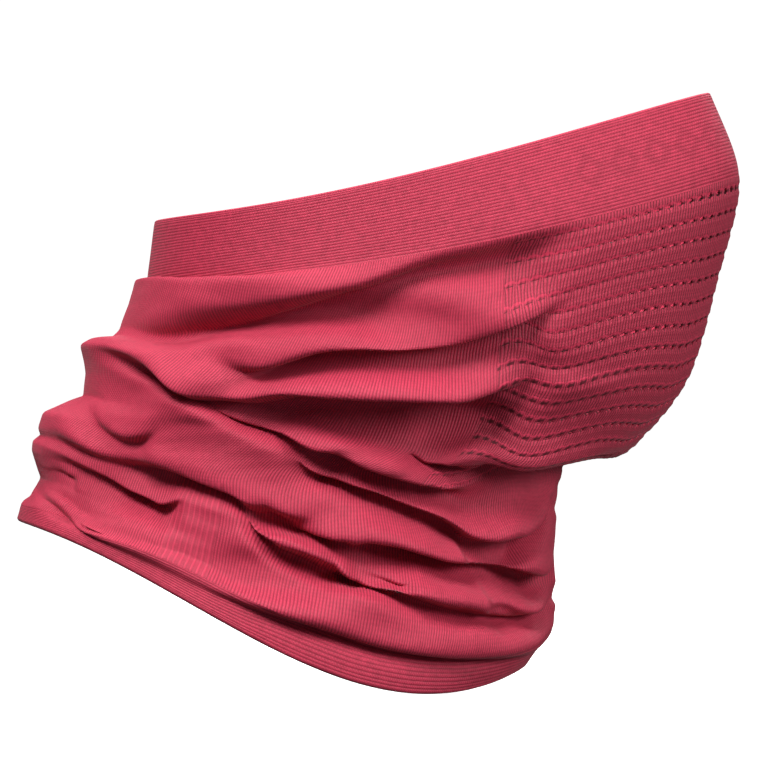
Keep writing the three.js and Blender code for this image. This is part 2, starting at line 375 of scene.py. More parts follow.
def guided_surface():
    """The folded cloth surface as rows by columns, before it settles."""
    angles, arc, length, mask_columns = columns()
    reach = [(LEVEL[start], LEVEL[end]) for start, end, _ in ZONES]
    bands = [np.linspace(start, end, ROWS_PER_RING * (end - start)) for start, end in reach]
    grid_level, grid_angle = np.meshgrid(np.concatenate(bands), angles, indexing="ij")
    base = form(grid_level, grid_angle)
    normal, down = directions(base)
    x, z = elevation(base)
    # The far side's folds are the near side's, drifting up and down between front and back.
    across = np.abs(np.sin(grid_angle))
    far = smoothstep(-0.12, 0.12, np.sin(grid_angle))
    drift = across**2
    far_x = x + 11 * drift * np.sin(z / 21 + 1.0)
    far_z = z + 7 * drift * np.sin(x / 33 + 2.2) + 4 * drift * np.sin(x / 17)
    pairs = zip(folds(x, z), folds(far_x, far_z))
    out, slide = (here * (1 - far) + there * far for here, there in pairs)
    # Small wrinkles along the folds.
    around = arc[None, :] / 34 + np.zeros_like(out)
    out += 0.45 * noise(3, around, grid_level * 4.3)
    # Down the middle of the back and of the throat the outline takes over.
    ahead = np.zeros_like(out)
    from_nose = nose_angle(grid_angle)
    behind = smoothstep(128, 168, from_nose)
    before = 1 - smoothstep(5, 28, from_nose)
    before *= smoothstep(LEVEL["throat"] - 0.6, LEVEL["throat"] + 0.1, grid_level)
    for outline, weight, way in ((BACK_OUTLINE, behind, -1), (THROAT_OUTLINE, before, 1)):
        at_x, at_z = np.array(outline)[::-1].T
        middle = np.argmin(from_nose[0] * way)
        line = base[:, middle]
        stand = np.interp(line[:, 2], at_z, at_x) - line[:, 0]
        ahead = ahead * (1 - weight) + stand[:, None] * weight
        out, slide = out * (1 - weight), slide * (1 - weight)
    # Nothing stands out of the welts, and the front of the mask is stretched smooth.
    welts = smoothstep(LEVEL["welt foot"] - 0.05, LEVEL["welt foot"] + 0.35, grid_level)
    welts *= 1 - smoothstep(LEVEL["hem head"] - 0.1, LEVEL["hem head"] + 0.6, grid_level)
    loose = 16 * smoothstep(LEVEL["cheek"], LEVEL["jaw"] + 0.5, grid_level)
    over_chin = 1 - smoothstep(LEVEL["chin"] - 0.2, LEVEL["chin"] + 0.5, grid_level)
    keep = welts * (1 - over_chin * (1 - smoothstep(38 - loose, 74 - loose, from_nose)))
    out, slide, ahead = out * keep, slide * keep, ahead * keep
    # At the back the first roll stands up over the foot of the welt.
    under = (grid_level - LEVEL["welt foot"]) * (RINGS["welt foot"][1] - RINGS["cheek"][1])
    ear = smoothstep(98, 160, from_nose)
    slide -= EAR_RISE * ear * smoothstep(0, 3, under) * (1 - smoothstep(3, 14, under))
    out += EAR_OUT * ear * smoothstep(0, 4, under) * (1 - smoothstep(4, 16, under))
    # The welt itself is soft and waves slowly.
    soft = 1 - smoothstep(LEVEL["welt foot"], LEVEL["welt foot"] + 0.3, grid_level)
    out += soft * 0.5 * noise(11, around * 0.6, grid_level * 0.8, 1)
    points = base + normal * out[..., None] + down * slide[..., None]
    points[..., 0] += ahead
    ends = np.cumsum([len(levels) for levels in bands])[:-1]
    rows = [settled_rows(part, zone[2]) for part, zone in zip(np.split(points, ends), ZONES)]
    rows[1:] = [part[1:] for part in rows[1:]]
    return np.concatenate(rows), angles, arc, length, mask_columns


def smooth_rows_and_columns(points, passes):
    """Evens out the surface a little, leaving its two edges where they are."""
    for _ in range(passes):
        around = (np.roll(points, 1, axis=1) + np.roll(points, -1, axis=1)) / 2
        middle = points.copy()
        middle[1:-1] = (points[2:] + points[:-2]) / 2
        points = points * 0.5 + around * 0.25 + middle * 0.25
    return points


# ---- Settling as cloth ----
SIM_SCALE = 10  # the simulation works in decimetres, where its tolerances suit knit
SIM_FRAMES = 10
SIM_MOST = 4.5  # millimetres that a point may move
SIM_ROW_STEP, SIM_COLUMN_STEP = 2, 3
SIM_EVEN, SIM_WHOLE = 12, 250  # smoothing passes: less than a fold, and more than one
SIM_SHARE = 1.6


def resampled(values, at, axis):
    """Straight-line interpolation of a grid along an axis at fractional positions."""
    low = np.clip(np.floor(at).astype(int), 0, values.shape[axis] - 2)
    t = (at - low).reshape([-1 if k == axis else 1 for k in range(values.ndim)])
    return np.take(values, low, axis) * (1 - t) + np.take(values, low + 1, axis) * t


def settle(points, hold):
    """Lets the folded surface (millimetres) settle under its own weight, with its folds lying on
    each other. hold is how firmly each point keeps its place, from 0 to 1."""
    rows = np.arange(0, len(points), SIM_ROW_STEP)
    total = points.shape[1]
    cols = np.arange(0, total - 1, SIM_COLUMN_STEP)
    coarse = points[rows][:, cols]
    _, faces = grid_faces(len(rows), len(cols), closed=True)
    mesh = bpy.data.meshes.new("settling")
    mesh.from_pydata(coarse.reshape(-1, 3) * MM * SIM_SCALE, [], faces.tolist())
    obj = placed("settling", mesh)
    scene = bpy.context.scene
    group = obj.vertex_groups.new(name="hold")
    for i, weight in enumerate(hold[rows][:, cols].ravel()):
        group.add([i], float(weight), "REPLACE")
    modifier = obj.modifiers.new("cloth", "CLOTH")
    cloth_ = modifier.settings
    cloth_.quality = 8
    cloth_.mass = 0.15
    cloth_.air_damping = 2
    cloth_.tension_stiffness = cloth_.compression_stiffness = 12
    cloth_.shear_stiffness = 4
    cloth_.bending_stiffness = 1.5
    cloth_.tension_damping = cloth_.compression_damping = cloth_.shear_damping = 8
    cloth_.vertex_group_mass = "hold"
    cloth_.pin_stiffness = 0.6
    cloth_.effector_weights.gravity = 0.25
    touch = modifier.collision_settings
    touch.use_collision = False
    touch.use_self_collision = True
    touch.self_distance_min = 0.012
    touch.self_friction = 8
    touch.collision_quality = 3
    modifier.point_cache.frame_start, modifier.point_cache.frame_end = 1, SIM_FRAMES
    for number in range(1, SIM_FRAMES + 1):
        scene.frame_set(number)
    evaluated = obj.evaluated_get(bpy.context.evaluated_depsgraph_get())
    moved = read(evaluated.data.vertices, "co", 3).astype(float) / (MM * SIM_SCALE)
    bpy.data.objects.remove(obj)
    scene.frame_set(1)
    shift = moved.reshape(coarse.shape) - coarse
    far = np.linalg.norm(shift, axis=2, keepdims=True)
    shift *= np.minimum(1, SIM_MOST / np.maximum(far, 1e-9))
    # Keep how the folds settle, but neither stitch-sized crinkles nor a shift of the whole tube,
    # which the wearer holds in place.
    shift = smooth_rows_and_columns(shift, SIM_EVEN)
    shift = (shift - smooth_rows_and_columns(shift, SIM_WHOLE)) * SIM_SHARE
    shift = np.concatenate([shift, shift[:, :1]], axis=1)
    places = np.append(cols, total).astype(float)
    at = np.interp(np.arange(total), places, np.arange(len(places)))
    shift = resampled(shift, at, 1)
    return points + resampled(shift, np.arange(len(points)) / SIM_ROW_STEP, 0)


# ---- Node trees ----
class Wire:
    """A node's output. Sums of wires and numbers add Math nodes to the tree."""

    def __init__(self, net, socket):
        self.net, self.socket = net, socket

    def math(self, operation, *others):
        return self.net.node("ShaderNodeMath", {"operation": operation}, [self, *others])

    def __add__(self, other):
        return self.math("ADD", other)

    __radd__ = __add__

    def __sub__(self, other):
        return self.math("SUBTRACT", other)

    def __rsub__(self, other):
        return self.net.node("ShaderNodeMath", {"operation": "SUBTRACT"}, [other, self])

    def __mul__(self, other):
        return self.math("MULTIPLY", other)

    __rmul__ = __mul__

    def __truediv__(self, other):
        return self.math("DIVIDE", other)

    def __mod__(self, other):
        return self.math("FLOORED_MODULO", other)

    def __abs__(self):
        return self.math("ABSOLUTE")

    def step(self, low, high):
        """0 at low, 1 at high and smooth between."""
        return self.net.node(
            "ShaderNodeMapRange", {"interpolation_type": "SMOOTHSTEP"},
            {"Value": self, "From Min": low, "From Max": high},
        )


class Net:
    """One node tree, for a material or for Geometry Nodes."""

    def __init__(self, tree):
        self.tree = tree
        tree.nodes.clear()

    def node(self, kind, settings=None, inputs=None, output=0):
        made = self.tree.nodes.new(kind)
        for name, value in (settings or {}).items():
            setattr(made, name, value)
        inputs = inputs or {}
        for key, value in inputs.items() if isinstance(inputs, dict) else enumerate(inputs):
            if isinstance(value, Wire):
                self.tree.links.new(value.socket, made.inputs[key])
            else:
                made.inputs[key].default_value = value
        if not made.outputs:
            return made
        return Wire(self, made.outputs[output])

    def mix(self, factor, a, b):
        """A colour between two."""
        return self.node("ShaderNodeMix", {"data_type": "RGBA"}, {0: factor, 6: a, 7: b}, output=2)


# ---- Knit materials ----
WALE = EYELET_PITCH / 4  # millimetres from one column of stitches to the next
COURSE = 1.17  # millimetres from one row of stitches to the next
MOTIF_SIZE = (13, 13)  # millimetres along the welt and down it
MOTIF_HEIGHT = -15.5  # millimetres above the welt's foot, on the map
MOTIF_REACH = 78  # millimetres each way from the nose


def toned(colour, share, lift=0.0):
    """The yarn colour made darker or lighter, with its alpha: for painted shade and painted
    highlights on the knit, and for the motif's own tone.
    """
    return [min(1.0, c * share + lift) for c in colour] + [1.0]


def knit_material(name, colour, kind, row_pitch=None, motif_at=None):
    """A knit finish on the piece's own map, whose units are millimetres along the cloth. kind is
    welt, eyelet, rib or plain. row_pitch is the distance between rows of eyelets on the map, and
    motif_at the middle of a row of plain diamonds."""
    material = bpy.data.materials.new(name)
    material.use_nodes = True
    net = Net(material.node_tree)
    place = net.node("ShaderNodeUVMap", {"uv_map": "knit"})
    u, v = (net.node("ShaderNodeSeparateXYZ", inputs=[place], output=axis) for axis in (0, 1))
    solid = net.node("ShaderNodeTexCoord", output=3)
    slow, cloud, fuzz = (
        net.node("ShaderNodeTexNoise", inputs={"Vector": solid, "Scale": scale, "Detail": detail})
        for scale, detail in ((60.0, 2.0), (420.0, 3.0), (2600.0, 2.0))
    )
    wander = (slow - 0.5) * 0.9
    ribs = lambda value, pitch: abs((value * (math.pi / pitch)).math("COSINE"))
    if kind == "welt":
        rows = ribs(v + wander * 0.4, COURSE)
        loops = ribs(u + (v / COURSE).math("FLOOR") * (WALE / 2), WALE)
        height = rows * (0.35 + loops * 0.65)
        contrast = 0.24
    else:
        across = u + wander
        if kind == "eyelet":
            row = v / row_pitch
            line = (HOLE_ROW + 0.5) / ROWS_PER_EYELET
            middle = 2.5 / STEPS_PER_EYELET * EYELET_PITCH
            near = abs((row % 1.0) - line) * row_pitch
            turn = (row.math("FLOOR") % 2.0) * (EYELET_PITCH / 2)
            pull = (1.0 - (near / 3.0).math("MINIMUM", 1.0)) * 0.38
            bend = ((u + turn - middle) * (math.tau / EYELET_PITCH)).math("SINE") * pull
            across = across - bend
        columns_ = ribs(across, WALE)
        lean = abs((across / WALE) % 1.0 - 0.5)
        loops = ribs(v + lean * (0.9 * COURSE), COURSE)
        height = columns_ * 0.72 + loops * columns_ * 0.28
        contrast = 1.0 if kind == "eyelet" else 0.42
        if kind == "rib":
            wide = ribs(u, WALE * 2)
            height = height * 0.5 + wide * 0.5
            contrast = 0.50
    # The stitches' relief is painted into the colour: painted shade in the grooves between stitches
    # and painted highlight on their tops, mixed with the yarn's own random mottling.
    shade = height * contrast + cloud * 0.22 + fuzz * 0.16
    amount = (shade - 0.12) / (contrast + 0.14)
    # groove is the painted shade colour in the grooves, and the lighter tone below is the painted
    # highlight on the stitch tops.
    groove = toned(colour, 0.34 if kind == "eyelet" else 0.50)
    tone = net.mix(amount.step(0.0, 1.0), groove, toned(colour, 1.15, 0.006))
    if kind == "eyelet":
        # Each hole, open or closed, has a painted dark slit of shade and a painted highlight on the
        # loop arched over it.
        along = (u + turn - middle + EYELET_PITCH / 2) % EYELET_PITCH - EYELET_PITCH / 2
        under = ((row % 1.0) - line) * row_pitch + along * 0.10
        slit_shade = abs(along).step(1.35, 1.15) * abs(under).step(0.50, 0.30)
        arch = abs(under + 0.75 + 0.55 * (1.0 - (along / 2.0) * (along / 2.0)))
        tone = net.mix(arch.step(0.50, 0.18) * 0.55, tone, toned(colour, 1.6))
        tone = net.mix(slit_shade * 0.85, tone, toned(colour, 0.16))
    if motif_at is not None:
        pitch, tall = MOTIF_SIZE
        along = u - motif_at
        shape = abs((along / pitch).math("FRACT") - 0.5) * 2.0
        shape = shape + abs(v - MOTIF_HEIGHT) / (tall / 2)
        ring = shape.step(1.02, 0.94) * shape.step(0.42, 0.50)
        inside = (MOTIF_REACH - abs(along)).math("GREATER_THAN", 0.0)
        tone = net.mix(ring * inside * 0.5, tone, toned(colour, 0.62))
    bump = net.node("ShaderNodeBump", inputs={
        "Strength": 0.55, "Distance": 0.35 * MM,
        "Height": height + (cloud - 0.5) * 0.5 + (fuzz - 0.5) * 0.35,
    })
    shader = net.node("ShaderNodeBsdfPrincipled", inputs={
        "Base Color": tone, "Roughness": 0.66, "Normal": bump, "Specular IOR Level": 0.38,
        "Sheen Weight": 0.09, "Sheen Roughness": 0.4, "Sheen Tint": (1.0, 0.72, 0.76, 1.0),
    })
    net.node("ShaderNodeOutputMaterial", inputs={"Surface": shader})
    return material


# ---- Meshes ----
def settings():
    return bpy.context.scene.gaiter


def placed(name, data):
    """A new object at the origin, in the scene."""
    obj = bpy.data.objects.new(name, data)
    bpy.context.scene.collection.objects.link(obj)
    return obj


def sheet(name, points, faces, corner_uv, corner_normals):
    """A piece of knit from four-sided faces, with its map and its normal at each corner."""
    mesh = bpy.data.meshes.new(name)
    mesh.from_pydata(points, [], faces.tolist())
    mesh.uv_layers.new(name="knit").data.foreach_set("uv", corner_uv.ravel().astype(np.float32))
    mesh.polygons.foreach_set("use_smooth", np.ones(len(faces), bool))
    mesh.update()
    mesh.normals_split_custom_set(corner_normals.reshape(-1, 3))
    return placed(name, mesh)


def closed_shell(name, outer, inner, normals, uv, span=0):
    """A thin closed sheet from two matching grids in metres. normals are those of the outer side,
    and uv is in millimetres along the cloth. A span, the cloth's length round, joins its last
    column to its first."""
    rows, cols = outer.shape[:2]
    count = rows * cols
    points = np.concatenate([outer.reshape(-1, 3), inner.reshape(-1, 3)])
    index, front = grid_faces(rows, cols, closed=bool(span))
    back = front[:, ::-1] + count

    def rim(line):
        here, ahead = line[:-1], line[1:]
        return np.stack([here, ahead, ahead + count, here + count], axis=-1)

    rims = [rim(index[0]), rim(index[-1])[:, ::-1]]
    if not span:
        rims += [rim(index[:, 0])[:, ::-1], rim(index[:, -1])]
    edges = np.concatenate(rims)
    faces = np.concatenate([front, back, edges])
    corner_uv = np.concatenate([uv.reshape(-1, 2)] * 2)[faces]
    if span:
        low = corner_uv[..., 0] - corner_uv[..., 0].max(axis=1, keepdims=True) < -span / 2
        corner_uv[..., 0] += low * span
    flat = normals.reshape(-1, 3)
    edge_normals = np.repeat(face_normals(points[edges])[:, None], 4, axis=1)
    corner_normals = np.concatenate([flat[front], -flat[back - count], edge_normals])
    return sheet(name, points, faces, corner_uv, corner_normals)


def firmness(points, angles):
    """How firmly each point keeps its place: welts and the stretched mask stay, the rest gives."""
    rows = np.arange(len(points))[:, None]
    first, last = ZONES[0][2], len(points) - 1 - ZONES[-1][2]
    body = smoothstep(first - 2, first + 12, rows) * (1 - smoothstep(last - 10, last, rows))
    from_nose = nose_angle(angles)[None, :]
    throat = band("throat", "hem head").start
    loose = np.maximum(smoothstep(45, 80, from_nose), smoothstep(throat - 20, throat, rows))
    return 1 - 0.85 * body * loose


def cloth():
    """The finished cloth surface, worked out once: points and normals in metres, and its map."""
    if "made" not in cloth.__dict__:
        check_form()
        points, angles, arc, length, mask_columns = guided_surface()
        points = smooth_rows_and_columns(points, 3)
        points = settle(points, firmness(points, angles))
        points = smooth_rows_and_columns(points, 1)
        normals, _ = directions(points)
        lengths = np.linalg.norm(np.diff(points, axis=0), axis=2).mean(axis=1)
        v = np.concatenate([[0], np.cumsum(lengths)])
        first = ZONES[0][2]
        v -= v[first]
        uv = np.stack(np.broadcast_arrays(arc[None, :], v[:, None]), axis=-1)
        cloth.made = (points * MM, normals, uv, angles, length, mask_columns)
    return cloth.made


def band(first, last):
    """Row numbers of the cloth surface from one ring's line to another's."""
    rows = {}
    total = 0
    for start, end, count in ZONES:
        rows[start], total = total, total + count
        rows[end] = total
    return slice(rows[first], rows[last] + 1)


def column_at(degrees):
    """The column nearest to an angle from the nose."""
    return int(np.argmin(nose_angle(cloth()[3] - np.radians(degrees))))


def cut(name, rows, first, last):
    """One zone of single knit between two columns, with its own thickness."""
    points, normals, uv, _, length, _ = cloth()
    total = points.shape[1]
    last = last if last > first else last + total
    wanted = np.arange(first, last + 1)
    cols = wanted % total
    half = settings().ply / 2
    p, n = points[rows][:, cols], normals[rows][:, cols]
    m = uv[rows][:, cols].copy()
    m[..., 0] += np.where(wanted >= total, length, 0)[None, :]
    return closed_shell(name, p + n * half, p - n * half, n, m)


def welt(name, rows, flip=False):
    """A welt: the knit folded over its free edge into two plies that stay together at the foot."""
    points, normals, uv, _, length, _ = cloth()
    p, n, m = points[rows], normals[rows], uv[rows]
    if flip:
        p, n, m = p[::-1], n[::-1], m[::-1]
    ply, gap = settings().ply, settings().welt_gap
    radius = (2 * ply + gap) / 2
    proud = WELT_PROUD
    steps = len(p)
    # Walk down the inside, round the fold and down the outside: the shell's front and back.
    arcs = np.linspace(0, np.pi, 9)[1:-1]

    def path(inset):
        """Points from the inner ply's foot, over the edge, to the outer ply's foot."""
        reach = radius - inset
        fall = unit(p[2] - p[0])
        centre = p[0] + fall * radius - n[0] * (radius - proud)
        lines = [p[q] - n[q] * (radius - proud + reach) for q in range(steps - 1, 1, -1)]
        for t in arcs:
            lines.append(centre - n[0] * (reach * math.cos(t)) - fall * (reach * math.sin(t)))
        lines += [p[q] - n[q] * (radius - proud - reach) for q in range(2, steps)]
        return np.stack(lines)

    outer, inner = path(0), path(ply)
    v = [m[q, 0, 1] - 2 * (m[q, 0, 1] - m[0, 0, 1]) for q in range(steps - 1, 1, -1)]
    v += [m[0, 0, 1]] * len(arcs) + [m[q, 0, 1] for q in range(2, steps)]
    grid_uv = np.stack(np.broadcast_arrays(m[0, :, 0][None, :], np.array(v)[:, None]), axis=-1)
    normal, _ = directions(outer)
    if flip:
        outer, inner, normal, grid_uv = outer[::-1], inner[::-1], -normal[::-1], grid_uv[::-1]
    return closed_shell(name, outer, inner, normal, grid_uv, span=length)


# ---- Eyelets ----
def eyelet_tree():
    """Geometry Nodes that knit rows of eyelets into a grid of cloth. Each row is a shallow groove;
    its holes are open in front and closed towards the cheek, and every other row is half a pitch
    along. The grid carries its column, its row, its outward direction and how open it is."""
    tree = bpy.data.node_groups.new("eyelets", "GeometryNodeTree")
    for name, socket, in_out, default in (
        ("Cloth", "NodeSocketGeometry", "INPUT", None),
        ("Steps across", "NodeSocketFloat", "INPUT", float(STEPS_PER_EYELET)),
        ("Steps down", "NodeSocketFloat", "INPUT", float(ROWS_PER_EYELET)),
        ("Groove depth", "NodeSocketFloat", "INPUT", 0.0),
        ("Lip height", "NodeSocketFloat", "INPUT", 0.0),
        ("Strand", "NodeSocketMaterial", "INPUT", None),
        ("Eyelet cloth", "NodeSocketGeometry", "OUTPUT", None),
    ):
        made = tree.interface.new_socket(name=name, socket_type=socket, in_out=in_out)
        if default is not None:
            made.default_value = default
    net = Net(tree)
    entry = tree.nodes.new("NodeGroupInput")
    given = {o.name: Wire(net, o) for o in entry.outputs if o.name}

    def attribute(name, kind="FLOAT"):
        return net.node("GeometryNodeInputNamedAttribute", {"data_type": kind}, {"Name": name})

    column, row, wide = attribute("column"), attribute("row"), attribute("open")
    out, down = attribute("outwards", "FLOAT_VECTOR"), attribute("downwards", "FLOAT_VECTOR")
    across, fall = given["Steps across"], given["Steps down"]
    number = (row / fall).math("FLOOR")
    turn = (number % 2.0) * (across / 2)
    a = (column + turn) % across - across * (5 / 12)  # steps from the middle of a hole
    b = row % fall - (HOLE_ROW + 0.5)  # steps from the middle of a row of holes
    beside = 1 - (abs(a) / (across / 2)).math("MINIMUM", 1.0)
    groove = ((b * b) * -0.55).math("EXPONENT")
    shoulder = ((abs(b) - 1.6).math("POWER", 2.0) * -1.1).math("EXPONENT")
    rise = given["Lip height"] * shoulder * (beside * 0.8 + 0.2)
    rise = rise - given["Groove depth"] * groove * (0.35 + beside * 0.65)
    # The holes' upper and lower edges: apart where open, and arched along the hole.
    rim = (1 - abs(abs(b) - 0.5).math("MINIMUM", 1.0)).math("GREATER_THAN", 0.5)
    inside = (1.6 - abs(a)).math("GREATER_THAN", 0.0)
    arch = (1 - (a / 2.2) * (a / 2.2)).math("MAXIMUM", 0.0)
    gap = (arch * 0.62 * wide + 0.06) - 0.5
    shift = b.math("SIGN") * rim * inside * gap * STEP_DOWN
    offset = net.node("ShaderNodeVectorMath", {"operation": "SCALE"}, {0: out, 3: rise})
    slide = net.node("ShaderNodeVectorMath", {"operation": "SCALE"}, {0: down, 3: shift})
    both = net.node("ShaderNodeVectorMath", {"operation": "ADD"}, [offset, slide])
    moved = net.node("GeometryNodeSetPosition", None, {"Geometry": given["Cloth"], "Offset": both})
    hole = abs(a).math("LESS_THAN", 1.2) * abs(b).math("LESS_THAN", 0.3)
    hole = hole * wide.math("GREATER_THAN", 0.12)
    holes = {"Geometry": moved, "Selection": hole}
    opened = net.node("GeometryNodeDeleteGeometry", {"domain": "FACE"}, holes)
    real = net.node("GeometryNodeRealizeInstances", inputs={"Geometry": opened})
    finish = {"Geometry": real, "Material": given["Strand"]}
    strand = net.node("GeometryNodeSetMaterial", None, finish)
    exit_ = tree.nodes.new("NodeGroupOutput")
    tree.links.new(strand.socket, exit_.inputs[0])
    return tree


def eyelet_panel(name, rows, columns_, material):
    """The panel over nose and mouth, with its holes, cut from the first columns of the cloth."""
    points, normals, uv, angles, _, _ = cloth()
    p, n, m = points[rows][:, :columns_], normals[rows][:, :columns_], uv[rows][:, :columns_]
    count = p.shape[:2]
    _, faces = grid_faces(*count)
    mesh = bpy.data.meshes.new(name + "_grid")
    mesh.from_pydata(p.reshape(-1, 3), [], faces.tolist())
    from_nose = nose_angle(angles[:columns_])[None, :]
    r, c = np.meshgrid(np.arange(count[0]), np.arange(count[1]), indexing="ij")
    reach = 30 + 10 * np.sin(r / ROWS_PER_EYELET * 1.3)
    wide = 1 - 0.9 * smoothstep(reach, reach + 30, from_nose)
    wide *= smoothstep(0.5, 2, count[1] - 1 - c) * smoothstep(0.5, 2, c)
    row = r // ROWS_PER_EYELET
    wide *= 1 - smoothstep(CHIN_ROW - 1, CHIN_ROW, row)  # closed where they fold under the chin
    # The first row's holes are the largest, in front of the nose.
    wide *= 1 + 0.5 * (row == 0) * (1 - smoothstep(24, 40, from_nose))
    _, down = directions(points)
    for label, kind, values in (
        ("column", "FLOAT", c), ("row", "FLOAT", r), ("open", "FLOAT", wide),
        ("outwards", "FLOAT_VECTOR", n), ("downwards", "FLOAT_VECTOR", down[rows][:, :columns_]),
        ("along_u", "FLOAT", m[..., 0]), ("along_v", "FLOAT", m[..., 1]),
    ):
        layer = mesh.attributes.new(label, kind, "POINT")
        key = "vector" if kind == "FLOAT_VECTOR" else "value"
        layer.data.foreach_set(key, np.asarray(values, np.float32).ravel())
    grid = placed(name + "_grid", mesh)
    modifier = grid.modifiers.new("eyelets", "NODES")
    modifier.node_group = eyelet_tree()
    sizes = {"Groove depth": settings().groove, "Lip height": settings().lip, "Strand": material}
    for item in modifier.node_group.interface.items_tree:
        if item.item_type == "SOCKET" and item.in_out == "INPUT" and item.name in sizes:
            modifier[item.identifier] = sizes[item.name]
    evaluated = grid.evaluated_get(bpy.context.evaluated_depsgraph_get())
    open_ = bpy.data.meshes.new_from_object(evaluated)
    bpy.data.objects.remove(grid)
    return thickened(name, open_)


def thickened(name, mesh):
    """A closed sheet from a single layer of four-sided faces with holes in it."""
    count = len(mesh.vertices)
    given = {name: layer.data for name, layer in mesh.attributes.items()}
    p = read(mesh.vertices, "co", 3).astype(float)
    n = read(given["outwards"], "vector", 3).astype(float)
    faces = read(mesh.loops, "vertex_index").reshape(-1, 4)
    # Shade by the panel's own relief, and by the cloth's direction along its edges.
    q = p[faces]
    own = np.zeros((count, 3))
    face_normal = np.cross(q[:, 2] - q[:, 0], q[:, 3] - q[:, 1])
    for k in range(4):
        np.add.at(own, faces[:, k], face_normal)
    own = unit(own)
    half = settings().ply / 2
    points = np.concatenate([p + n * half, p - n * half])
    sides = np.concatenate([faces[:, [k, (k + 1) % 4]] for k in range(4)])
    key = sides.min(axis=1).astype(np.int64) * count + sides.max(axis=1)
    _, first, uses = np.unique(key, return_index=True, return_counts=True)
    rim = sides[first[uses == 1]]
    walls = np.stack([rim[:, 1], rim[:, 0], rim[:, 0] + count, rim[:, 1] + count], axis=-1)
    every = np.concatenate([faces, faces[:, ::-1] + count, walls])
    labels = "row", "column", "along_u", "along_v"
    row, column, u, v = (read(given[label], "value") for label in labels)
    uv = np.stack([np.tile(u, 2), np.tile(v, 2)], axis=-1)
    edge = (row < 0.5) | (row > row.max() - 0.5) | (column < 0.5) | (column > column.max() - 0.5)
    own[edge] = n[edge]
    # The walls of the holes are shaded as rounded yarn.
    ply = np.stack([own[rim[:, 1]], own[rim[:, 0]], -own[rim[:, 0]], -own[rim[:, 1]]], axis=1)
    round_walls = unit(face_normals(points[walls])[:, None] + 0.6 * ply)
    bpy.data.meshes.remove(mesh)
    corner_normals = np.concatenate([own[faces], -own[faces[:, ::-1]], round_walls])
    return sheet(name, points, every, uv[every], corner_normals)


def finish_piece(obj, material, nodes):
    """What every piece of knit says about itself."""
    obj.data.materials.append(material)
    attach(obj, "root")
    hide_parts(*nodes)
    return obj


# ---- Settings, in the sidebar ----
def size(name, description, millimetres):
    """A length that a user may set."""
    return bpy.props.FloatProperty(
        name=name, description=description, default=millimetres * MM, unit="LENGTH", precision=5
    )


class GaiterSettings(bpy.types.PropertyGroup):
    ply: size("Knit thickness", "Thickness of one ply", 0.9)
    welt_gap: size("Welt gap", "Air between the two plies of a welt", 0.5)
    groove: size("Eyelet groove", "Depth of the line that a row of eyelets lies in", 0.55)
    lip: size("Eyelet lip", "Height of the knit's edges beside a row of eyelets", 0.35)
    colour: bpy.props.FloatVectorProperty(
        name="Yarn colour", description="Colour of the plain knit", subtype="COLOR", size=3,
        default=(0.50, 0.024, 0.066), min=0, max=1,
    )


class GAITER_OT_top_welt(bpy.types.Operator):
    """Make the folded band over the nose and round the back of the head"""

    bl_idname = "gaiter.top_welt"
    bl_label = "Top welt"

    def execute(self, context):
        obj = welt("top_welt_knit", band("top edge", "welt foot"))
        nose = cloth()[2][0, cloth()[5] // 2, 0]
        material = knit_material("welt knit", list(settings().colour), "welt", motif_at=nose)
        finish_piece(obj, material, ["top_welt"])
        return {"FINISHED"}


class GAITER_OT_mask(bpy.types.Operator):
    """Make the eyelet panel over the nose and mouth"""

    bl_idname = "gaiter.mask"
    bl_label = "Eyelet panel"

    def execute(self, context):
        rows = band("welt foot", "throat")
        v = cloth()[2][:, 0, 1]
        row_pitch = (v[rows.stop - 1] - v[rows.start]) / EYELET_ROWS
        colour = [c * 0.93 for c in settings().colour]
        material = knit_material("eyelet knit", colour, "eyelet", row_pitch)
        obj = eyelet_panel("mask_panel_knit", rows, cloth()[5], material)
        finish_piece(obj, material, ["mask_panel"])
        return {"FINISHED"}


class GAITER_OT_sleeve(bpy.types.Operator):
    """Make the gathered plain knit round the cheeks, throat and nape, and its ribbed stripes"""

    bl_idname = "gaiter.sleeve"
    bl_label = "Sleeve"

    def execute(self, context):
        plain = knit_material("sleeve knit", list(settings().colour), "plain")
        ribbed = knit_material("rib knit", list(settings().colour), "rib")
        edge = cloth()[5] - 1
        obj = cut("cheek_sleeve_knit", band("welt foot", "throat"), edge, 0)
        finish_piece(obj, plain, ["cheek_sleeve"])
        reach = math.degrees(STRIPE_WIDTH / 2 / 80)
        front, back = column_at(STRIPE_AT - reach), column_at(STRIPE_AT + reach)
        far_back, far_front = column_at(-STRIPE_AT - reach), column_at(-STRIPE_AT + reach)
        rows = band("throat", "hem head")
        for name, first, last, material, slot, flat in (
            ("throat_sleeve", far_front, front, plain, "sleeve_knit", (0.28, 0.09)),
            ("rib_stripe_left", front, back, ribbed, "rib_knit", (0.014, 0.065)),
            ("nape_sleeve", back, far_back, plain, "sleeve_knit", (0.125, 0.055)),
            ("rib_stripe_right", far_back, far_front, ribbed, "rib_knit", (0.014, 0.065)),
        ):
            obj = cut(name + "_knit", rows, first, last)
            finish_piece(obj, material, [name])
        return {"FINISHED"}


class GAITER_OT_hem(bpy.types.Operator):
    """Make the folded band round the base of the neck"""

    bl_idname = "gaiter.hem"
    bl_label = "Hem welt"

    def execute(self, context):
        obj = welt("hem_welt_knit", band("hem head", "hem edge"), flip=True)
        material = knit_material("hem knit", list(settings().colour), "welt")
        finish_piece(obj, material, ["hem_welt"])
        return {"FINISHED"}


